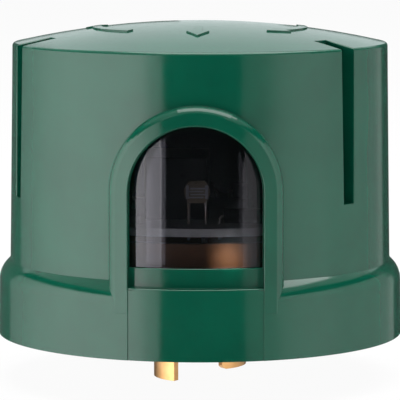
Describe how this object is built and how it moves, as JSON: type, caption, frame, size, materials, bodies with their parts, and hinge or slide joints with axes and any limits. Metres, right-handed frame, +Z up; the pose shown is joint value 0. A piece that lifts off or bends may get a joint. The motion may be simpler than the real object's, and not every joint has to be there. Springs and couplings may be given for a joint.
{
  "type": "photocell switch",
  "caption": "Twist-lock photocell switch: round moulded cover with skirt, domed top and arched window, circuit inside, brass locking blades below.",
  "frame": {"origin": "on the axis, in the plane where the gasket seats on the receptacle", "axes": "+Z up along the axis, -Y out through the window"},
  "size_m": [0.0826, 0.0824, 0.073],
  "materials": {
    "cover_green": "moulded polypropylene with a satin gloss",
    "lens_smoke": "clear smoky moulded acrylic",
    "base_brown": "brown moulded phenolic",
    "gasket_black": "black cellular rubber",
    "blade_brass": "stamped brass, bright",
    "rivet_brass": "brass, formed heads",
    "tinned_copper": "tinned copper wire",
    "board_laminate": "glass and paper laminate",
    "screw_zinc": "zinc plated steel",
    "solder_tin": "solder",
    "cell_ceramic": "ceramic disc under clear lacquer",
    "relay_black": "black moulded case",
    "dropper_grey": "dark grey moulded case",
    "sleeve_blue": "shrink sleeve over a can",
    "varistor_blue": "epoxy dip",
    "diode_black": "black moulded epoxy",
    "resistor_grey": "flameproof lacquer",
    "zener_glass": "tinted glass"
  },
  "bodies": {
    "root": {"cover": "cover_green", "window_lens": "lens_smoke", "base": "base_brown", "gasket": "gasket_black", "neutral_blade": "blade_brass", "load_blade": "blade_brass", "line_blade": "blade_brass", "blade_rivets": "rivet_brass", "blade_wires": "tinned_copper", "circuit_board": "board_laminate", "board_screws": "screw_zinc", "solder_joints": "solder_tin", "photocell": "cell_ceramic", "photocell_leads": "tinned_copper", "relay": "relay_black", "relay_pins": "tinned_copper", "dropper_capacitor": "dropper_grey", "dropper_leads": "tinned_copper", "filter_capacitor": "sleeve_blue", "filter_leads": "tinned_copper", "surge_varistor": "varistor_blue", "varistor_leads": "tinned_copper", "rectifier_diode": "diode_black", "diode_leads": "tinned_copper", "resistors": "resistor_grey", "resistor_leads": "tinned_copper", "zener_diode": "zener_glass", "zener_leads": "tinned_copper", "transistor": "diode_black", "transistor_leads": "tinned_copper"}
  },
  "joints": []
}
